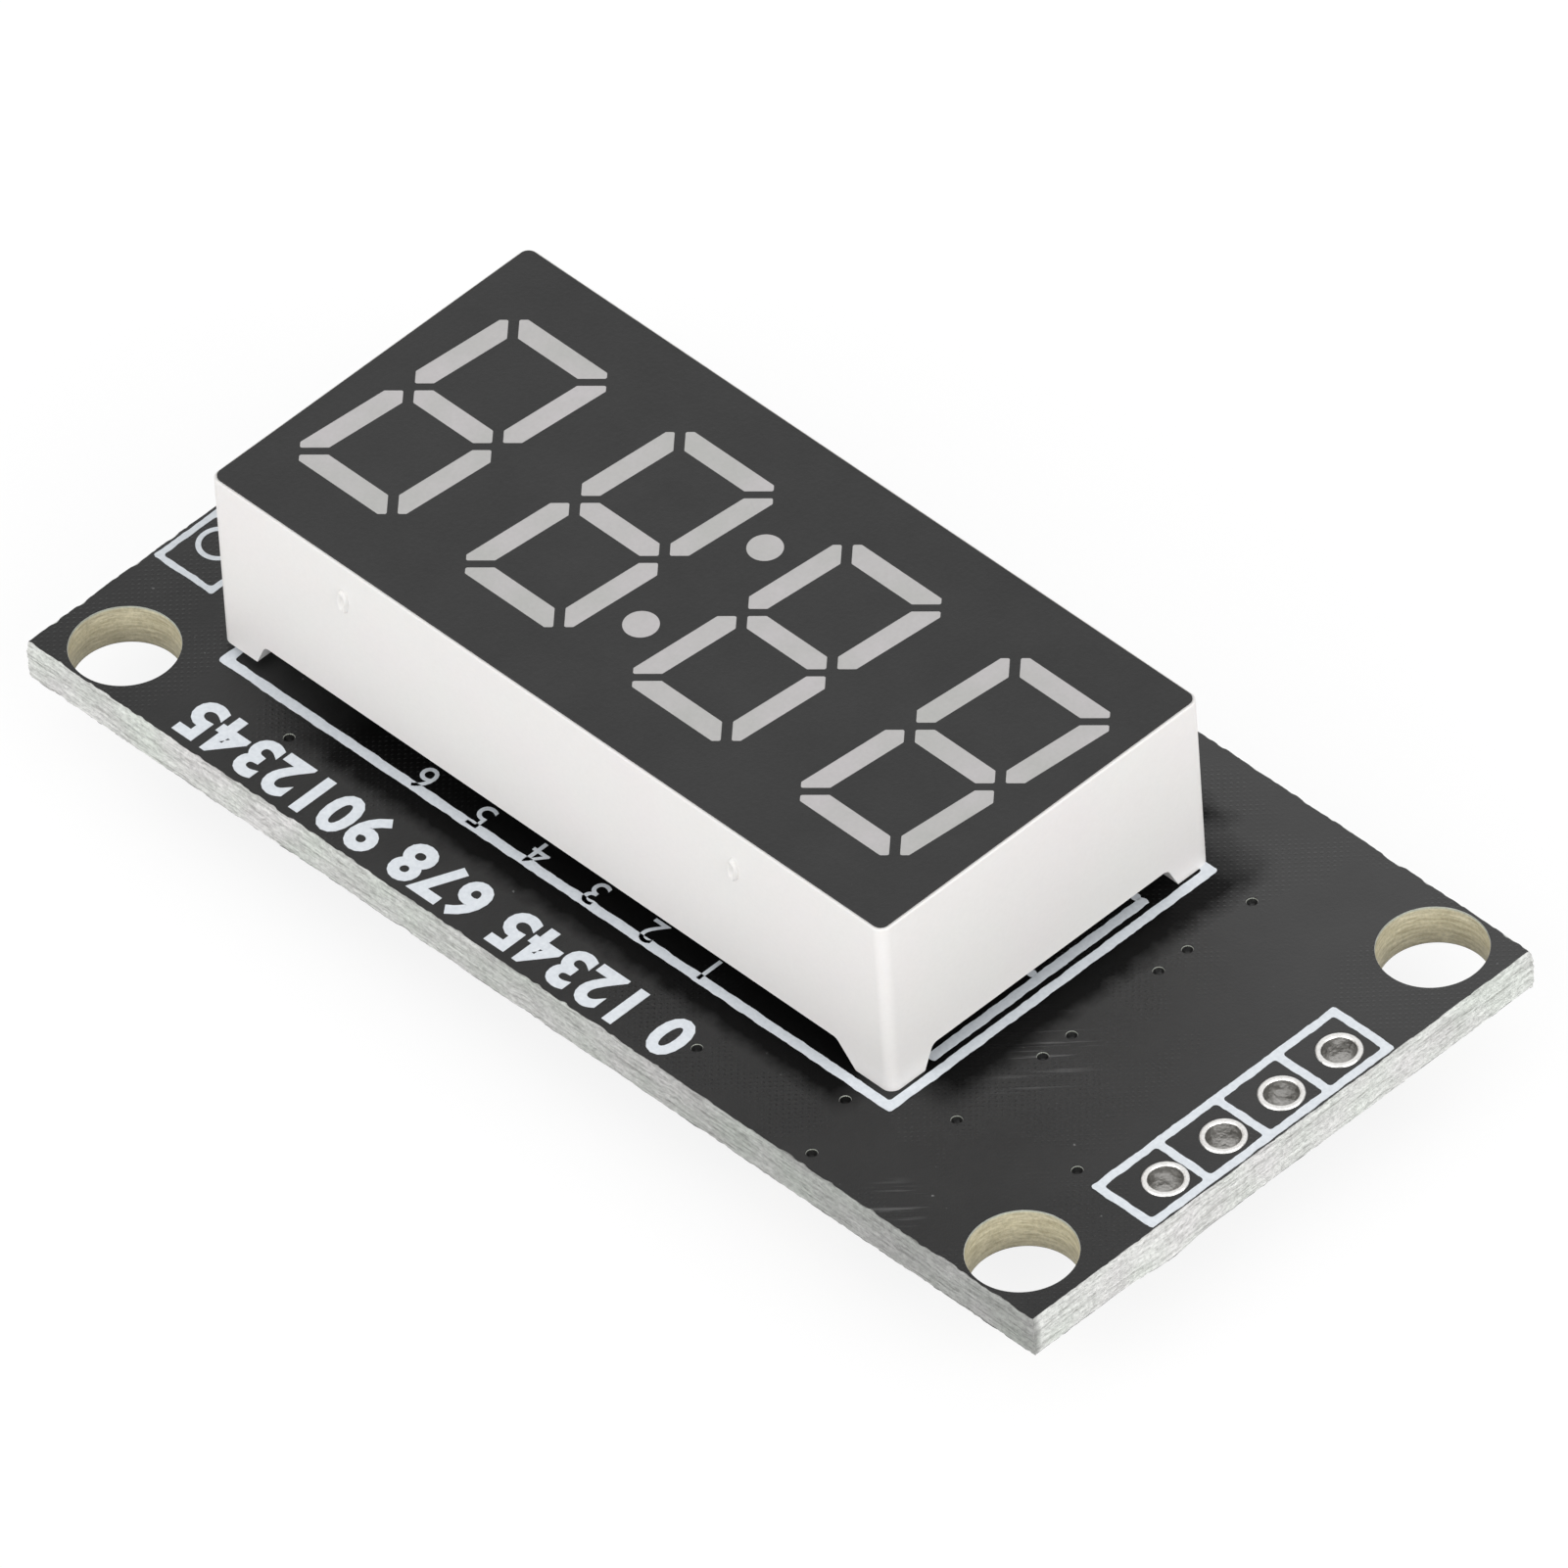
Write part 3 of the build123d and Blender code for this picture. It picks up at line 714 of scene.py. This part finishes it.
def via_plugs():
    """Mask sunk into each via, which leaves a small dimple on both faces."""
    work = bmesh.new()
    depth = 0.32
    shoulder = depth * 0.7
    radius = VIA_RADIUS + MASK_CLEARANCE
    waist = radius * 0.75
    profile = [
        (0, BOARD_TOP - depth), (waist, BOARD_TOP - shoulder), (radius, BOARD_TOP),
        (radius, 0), (waist, shoulder), (0, depth),
    ]
    for spot in VIA_SPOTS:
        lathed(work, profile, spot, PLUG_FACETS)
    mesh = welded(into_mesh(work, "via_plugs"))
    finish_piece(mesh, "via_plugs", "solder_mask", materials["solder_mask"], smooth=50)


def header_barrels():
    """The plated walls of the header holes, in a darker tin that paints the shade inside the holes."""
    work = bmesh.new()
    low = 0.002
    high = BOARD_TOP - low
    for spot in HEADER_SPOTS:
        inner = circle(spot, HEADER_BORE)
        outer = circle(spot, HEADER_RADIUS)
        loops = [(outer, low), (outer, high), (inner, high), (inner, low), (outer, low)]
        add_wall(work, [[(x, y, z) for x, y in loop] for loop, z in loops])
    mesh = welded(into_mesh(work, "header_barrels"))
    finish_piece(mesh, "header_barrels", "tinned_metal", materials["shaded_barrel_tin"], smooth=40)


# ---------------------------------------------------------------- print on the board
HEADER_FRAME = (-22.14, -4.92, -19.74, 5.46)
HEADER_LINE = 0.3
HEADER_DIVIDERS = (2.87, 0.27, -2.35)
OUTLINE_FRAME = (-12.47, -6.75, 17.17, 7.31)
OUTLINE_LINE = 0.36
END_FRAME_LINE = 0.24
END_RING = (0.76, 0.58)
# The line beside the display and its short arms: low x, low y, high x, high y
SIDE_MARKS = {
    "side": (-12.06, -4.5, -11.7, 5.0),
    "tick": (-11.72, 0.06, -11.38, 0.36),
    "foot": (-11.72, -4.5, -11.38, -4.2),
    "head": (-11.72, 4.7, -11.38, 5.0),
}
TITLE = "0 12345 678 9012345"
TITLE_MIDDLE = (5.3, 9.62)
TITLE_SIZE = 2.32
PIN_NUMBER_START = (-4.0, 6.78)
PIN_NUMBER_SIZE = 1.5
PIN_PITCH = 2.54


def cell_frame(name, line, seed, mirrored=False):
    """A printed frame divided into one cell for each header hole."""
    low_x, low_y, high_x, high_y = HEADER_FRAME
    half = line / 2
    loops = [inked(rectangle(low_x - half, low_y - half, high_x + half, high_y + half), seed)]
    edges = [high_y, *HEADER_DIVIDERS, low_y]
    for index, (upper, lower) in enumerate(zip(edges, edges[1:])):
        cell = rectangle(low_x + half, lower + half, high_x - half, upper - half)
        loops.append(inked(cell, seed + 2 + index))
    if mirrored:
        loops = [[(-x, y) for x, y in loop] for loop in loops]
    ink(name, loops)


def front_print():
    """All print on the front: frames, the display's outline, numbers and the far end's rings."""
    cell_frame("print_header_frame", HEADER_LINE, 1)
    cell_frame("print_end_frame", END_FRAME_LINE, 21, mirrored=True)
    ink("print_display_outline", ink_frame(*OUTLINE_FRAME, OUTLINE_LINE, 31))
    for name, bounds in SIDE_MARKS.items():
        ink(f"print_side_{name}", [inked(rectangle(*bounds), 41, wander=0.02, rounding=0.12)])
    for index, (_, y) in enumerate(HEADER_SPOTS, 1):
        centre = (-HEADER_SPOTS[0][0], y)
        ink(f"print_end_ring_{index}", [circle(centre, radius) for radius in END_RING])
    level = BOARD_TOP + INK_THICKNESS / 2
    ink_text("print_title", TITLE, TITLE_SIZE, TITLE_MIDDLE, level, 0.085, 1.08)
    for index in range(6):
        spot = (PIN_NUMBER_START[0] + index * PIN_PITCH, PIN_NUMBER_START[1])
        ink_text(f"print_pin_{index + 1}", str(index + 1), PIN_NUMBER_SIZE, spot, level, 0.0)


# ---------------------------------------------------------------- the back
PAD_THICKNESS = 0.02
TRACK_WIDTH = 0.3
TRACK_RISE = 0.012
LEADS_A_SIDE = 10
LEAD_WIDTH = 0.4
PAD_LEAN = (0.01, 0.01, 0.01)
# How far pads and beads reach outwards and inwards from a lead's or a cap's outer end
LEAD_PAD_OUT = 0.35
LEAD_PAD_IN = 1.15
LEAD_PAD_HALF = 0.3
LEAD_BEAD_OUT = 0.3
LEAD_BEAD_IN = 0.02
LEAD_BEAD_HALF = 0.26
LEAD_BEAD_HEIGHT = 0.2
CAP_PAD_IN = 0.45
CAP_PAD_MARGIN = 0.1
CAP_BEAD_OUT = 0.3
CAP_BEAD_IN = 0.01
CAP_BEAD_SHARE = 0.55
BACK_CHIP_LINE = 0.16
BACK_PASSIVE_LINE = 0.14
BACK_NUMBER_SIZE = 1.2
BACK_NUMBER_SHIFT = 1.5


def fillet_solid(work, low, high, lean):
    """Adds a bead in a box, full at the box's high z and leaning in towards its low z."""
    low_x, low_y, low_z = low
    high_x, high_y, high_z = high
    low_lean, high_lean, side_lean = lean
    base = rectangle(low_x, low_y, high_x, high_y)
    inner = rectangle(low_x + low_lean, low_y + side_lean, high_x - high_lean, high_y - side_lean)
    rings = []
    for share in (0.0, 0.25, 0.55, 1.0):
        pull = math.sqrt(share)
        ring = []
        for (bx, by), (ix, iy) in zip(base, inner):
            x = bx + (ix - bx) * pull
            y = by + (iy - by) * pull
            z = high_z + (low_z - high_z) * share
            ring.append(work.verts.new((x * MM, y * MM, z * MM)))
        rings.append(ring)
    for first, second in zip(rings, rings[1:]):
        for index in range(4):
            after = (index + 1) % 4
            work.faces.new((first[index], first[after], second[after], second[index]))
    work.faces.new(rings[0])
    work.faces.new(rings[-1][::-1])


def lead_spots():
    """Outer end of each chip lead's foot, and which side it points to."""
    pitch = (LEADS_HIGH[1] - LEADS_LOW[1] - LEAD_WIDTH) / (LEADS_A_SIDE - 1)
    centre_y = (LEADS_LOW[1] + LEADS_HIGH[1]) / 2
    spots = []
    for side, x in ((-1, LEADS_LOW[0]), (1, LEADS_HIGH[0])):
        for index in range(LEADS_A_SIDE):
            spots.append((x, centre_y + (index - (LEADS_A_SIDE - 1) / 2) * pitch, side))
    return spots


PASSIVE_NODES = [
    part["node"] for part in frame["record"]["subparts"] if part["node"].endswith("_caps")
]


def add_bead(work, first_x, second_x, side_y, height, lean):
    """Adds a bead on the board's back, between two x values given in either order."""
    low = (min(first_x, second_x), side_y[0], -height)
    high = (max(first_x, second_x), side_y[1], 0)
    fillet_solid(work, low, high, lean)


def outward_lean(side, reach, across):
    """A bead's lean when its outer end faces low x (-1) or high x (1)."""
    return (reach, 0.0, across) if side < 0 else (0.0, reach, across)


def back_pads():
    """Tinned pads and solder beads under the chip's leads and the passives' caps."""
    pads = bmesh.new()
    beads = bmesh.new()
    for x, y, side in lead_spots():
        pad_sides = (y - LEAD_PAD_HALF, y + LEAD_PAD_HALF)
        bead_sides = (y - LEAD_BEAD_HALF, y + LEAD_BEAD_HALF)
        toe, heel = x + side * LEAD_PAD_OUT, x - side * LEAD_PAD_IN
        add_bead(pads, toe, heel, pad_sides, PAD_THICKNESS, PAD_LEAN)
        toe, heel = x + side * LEAD_BEAD_OUT, x - side * LEAD_BEAD_IN
        add_bead(beads, toe, heel, bead_sides, LEAD_BEAD_HEIGHT, outward_lean(side, 0.22, 0.04))
    for node in PASSIVE_NODES:
        low, high = node_box(node)
        pad_sides = (low[1] - CAP_PAD_MARGIN, high[1] + CAP_PAD_MARGIN)
        bead_sides = (low[1], high[1])
        bead_height = CAP_BEAD_SHARE * (high[2] - low[2])
        for side, end in ((-1, low[0]), (1, high[0])):
            outer = end + side * CAP_BEAD_OUT
            toe, heel = outer + side * CAP_PAD_MARGIN, end - side * CAP_PAD_IN
            add_bead(pads, toe, heel, pad_sides, PAD_THICKNESS, PAD_LEAN)
            heel = end - side * CAP_BEAD_IN
            add_bead(beads, outer, heel, bead_sides, bead_height, outward_lean(side, 0.26, 0.08))
    for work, name, slot in ((pads, "back_pads", "tinned_metal"), (beads, "back_solder_beads", "solder")):
        bmesh.ops.recalc_face_normals(work, faces=work.faces)
        finish_piece(into_mesh(work, name), name, slot, materials[slot], smooth=60)


def track(name, points):
    """A copper track under the back's mask: low flat strips with round ends."""
    half = TRACK_WIDTH / 2
    work = bmesh.new()
    for start, end in zip(points, points[1:]):
        along = (Vector(end) - Vector(start)).normalized()
        turn = math.atan2(along.y, along.x)
        arc = [turn + math.pi / 2 + math.pi * step / 8 for step in range(9)]
        loop = [(start[0] + half * math.cos(t), start[1] + half * math.sin(t)) for t in arc]
        loop += [(end[0] - half * math.cos(t), end[1] - half * math.sin(t)) for t in arc]
        strip = plate(name, [loop], -TRACK_RISE, 0.001)
        work.from_mesh(strip)
        bpy.data.meshes.remove(strip)
    finish_piece(into_mesh(work, name), name, "solder_mask", materials["solder_mask"])


def back_tracks():
    """Tracks from the header's pads to every second lead near them, under the mask."""
    left = sorted([spot for spot in lead_spots() if spot[2] < 0], key=lambda spot: spot[1])
    for index, (pad_x, pad_y) in enumerate(HEADER_SPOTS):
        x, y, _ = left[7 - 2 * index]
        points = [(pad_x + 0.74, pad_y), (pad_x + 1.2, pad_y), (x - 1.1, y), (x - 0.2, y)]
        track(f"track_header_{index + 1}", points)


def back_print():
    """Outlines and pin numbers printed on the back."""
    low_x, high_x = CHIP_LOW[0] + 0.3, CHIP_HIGH[0] - 0.3
    low_y, high_y = CHIP_LOW[1] - 0.35, CHIP_HIGH[1] + 0.35
    chip = ink_frame(low_x, low_y, high_x, high_y, BACK_CHIP_LINE, 61)
    ink("print_back_chip", chip, back=True)
    for index, node in enumerate(PASSIVE_NODES):
        low, high = node_box(node)
        bounds = (low[0] - 0.6, low[1] - 0.3, high[0] + 0.6, high[1] + 0.3)
        box = ink_frame(*bounds, BACK_PASSIVE_LINE, 71 + index)
        ink(f"print_back_passive_{index + 1}", box, back=True)
    level = -INK_THICKNESS / 2
    for index, (x, y) in enumerate(PIN_SPOTS, 1):
        spot = (x, y + math.copysign(BACK_NUMBER_SHIFT, y))
        name = f"print_back_pin_{index}"
        ink_text(name, str(index), BACK_NUMBER_SIZE, spot, level, 0.01, back=True)


# ---------------------------------------------------------------- small marks on the housing
GATE_MARKS = ((11.75, 7.4), (-5.6, 7.1))
GATE_HALF_WIDTH = 0.2
GATE_HALF_HEIGHT = 0.48
GATE_FACETS = 28
# Each level's share of the full size and its rise from the wall
GATE_LEVELS = ((1.0, -0.02), (0.97, 0.07), (0.8, 0.13), (0.55, 0.1), (0.25, -0.01))


def gate_marks():
    """Moulding gate marks on the housing's long side: small upright blobs left by the trim."""
    work = bmesh.new()
    for number, (x, z) in enumerate(GATE_MARKS):
        loops = []
        for share, rise in GATE_LEVELS:
            loop = []
            for step in range(GATE_FACETS):
                turn = 2 * math.pi * step / GATE_FACETS
                wobble = 1 + 0.22 * noise.noise(Vector((math.cos(turn), math.sin(turn), number * 3.1)))
                across = GATE_HALF_WIDTH * share * wobble * math.cos(turn)
                upward = GATE_HALF_HEIGHT * share * wobble * math.sin(turn)
                loop.append((x + across, HOUSING_WALL_Y + rise, z + upward))
            loops.append(loop)
        add_wall(work, loops)
    bmesh.ops.holes_fill(work, edges=work.edges, sides=40)
    bmesh.ops.recalc_face_normals(work, faces=work.faces)
    mesh = into_mesh(work, "gate_marks")
    finish_piece(mesh, "gate_marks", "housing_plastic", materials["housing_plastic"], smooth=60)


# ---------------------------------------------------------------- stage, light and camera
FLOOR_REACH = 3.0
FLOOR_GLOW = 1.04
FLOOR_GLOW_SHARE = 0.8
WORLD_LEVEL = 0.72
LAMP_SPREAD = 60
# Strength, azimuth and elevation
LAMPS = {"key": (1.07, 90, 25), "fill": (1.6, 180, 20)}


def seen_share(tree):
    """1 for rays from the camera and for what glossy and clear surfaces show of it."""
    path = tree.nodes.new("ShaderNodeLightPath")
    glossy = tree.nodes.new("ShaderNodeMath")
    glossy.operation = "MAXIMUM"
    tree.links.new(path.outputs["Is Glossy Ray"], glossy.inputs[0])
    tree.links.new(path.outputs["Is Transmission Ray"], glossy.inputs[1])
    seen = tree.nodes.new("ShaderNodeMath")
    seen.operation = "MAXIMUM"
    tree.links.new(path.outputs["Is Camera Ray"], seen.inputs[0])
    tree.links.new(glossy.outputs[0], seen.inputs[1])
    return seen.outputs[0]


def white_stage_material():
    """Material of a floor that shows white to the camera and still takes a soft shadow."""
    material = bpy.data.materials.new("stage_white")
    material.use_nodes = True
    tree = material.node_tree
    tree.nodes.clear()
    share = tree.nodes.new("ShaderNodeMath")
    share.operation = "MULTIPLY"
    share.inputs[1].default_value = FLOOR_GLOW_SHARE
    tree.links.new(seen_share(tree), share.inputs[0])
    cloth = tree.nodes.new("ShaderNodeBsdfDiffuse")
    cloth.inputs["Color"].default_value = (0.9, 0.9, 0.9, 1)
    glow = tree.nodes.new("ShaderNodeEmission")
    glow.inputs["Color"].default_value = (1, 1, 1, 1)
    glow.inputs["Strength"].default_value = FLOOR_GLOW
    blend = tree.nodes.new("ShaderNodeMixShader")
    tree.links.new(share.outputs[0], blend.inputs[0])
    tree.links.new(cloth.outputs[0], blend.inputs[1])
    tree.links.new(glow.outputs[0], blend.inputs[2])
    out = tree.nodes.new("ShaderNodeOutputMaterial")
    tree.links.new(blend.outputs[0], out.inputs["Surface"])
    return material


def make_stage():
    """A wide white floor just under the chip, the lowest piece."""
    mesh = bpy.data.meshes.new("floor")
    corners = rectangle(-FLOOR_REACH, -FLOOR_REACH, FLOOR_REACH, FLOOR_REACH)
    mesh.from_pydata([(x, y, FLOOR_Z * MM) for x, y in corners], [], [(0, 1, 2, 3)])
    floor = bpy.data.objects.new("floor", mesh)
    bpy.context.scene.collection.objects.link(floor)
    mesh.materials.append(white_stage_material())


def make_world():
    """Even white surround that lights at a plain level and shows as white."""
    world = bpy.data.worlds.new("surround")
    bpy.context.scene.world = world
    world.use_nodes = True
    tree = world.node_tree
    background = tree.nodes["Background"]
    background.inputs["Color"].default_value = (1, 1, 1, 1)
    level = tree.nodes.new("ShaderNodeMapRange")
    level.inputs["To Min"].default_value = WORLD_LEVEL
    level.inputs["To Max"].default_value = 1.0
    tree.links.new(seen_share(tree), level.inputs["Value"])
    tree.links.new(level.outputs[0], background.inputs["Strength"])


def sun(name, strength, azimuth, elevation):
    """A soft lamp from an azimuth, measured from +X towards +Y, and an elevation, in degrees."""
    lamp = bpy.data.lights.new(name, "SUN")
    lamp.energy = strength
    lamp.angle = math.radians(LAMP_SPREAD)
    holder = bpy.data.objects.new(name, lamp)
    a = math.radians(azimuth)
    e = math.radians(elevation)
    towards = Vector((math.cos(a) * math.cos(e), math.sin(a) * math.cos(e), math.sin(e)))
    holder.rotation_euler = towards.to_track_quat("Z", "Y").to_euler()
    bpy.context.scene.collection.objects.link(holder)


CAMERA_HEADING = -131.33
CAMERA_ELEVATION = 44.28
CAMERA_ROLL = -4.64
CAMERA_DISTANCE = 1500.0
CAMERA_LENS = 1103.3
CAMERA_AIM = (-0.01, -0.37, 1.84)
SENSOR_WIDTH = 36.0


def make_camera():
    """A long lens on the corner between the -X end and the +Y side."""
    data = bpy.data.cameras.new("camera")
    data.lens = CAMERA_LENS
    data.sensor_width = SENSOR_WIDTH
    data.clip_start = 0.05
    data.clip_end = 20.0
    turn = Matrix.Rotation(math.radians(CAMERA_HEADING), 4, "Z")
    tip = Matrix.Rotation(math.radians(90 - CAMERA_ELEVATION), 4, "X")
    roll = Matrix.Rotation(math.radians(CAMERA_ROLL), 4, "Z")
    facing = turn @ tip @ roll
    aim = Vector(CAMERA_AIM) * MM
    back = facing @ Vector((0, 0, CAMERA_DISTANCE * MM))
    camera = bpy.data.objects.new("camera", data)
    camera.matrix_world = Matrix.Translation(aim + back) @ facing
    bpy.context.scene.collection.objects.link(camera)
    bpy.context.scene.camera = camera


# ---------------------------------------------------------------- the scene
board_laminate()
mask_sheets()
via_plugs()
header_barrels()
front_print()
back_pads()
back_tracks()
back_print()
gate_marks()
make_stage()
make_world()
for lamp_name, look in LAMPS.items():
    sun(lamp_name, *look)
make_camera()
bpy.context.scene.view_settings.view_transform = "Standard"
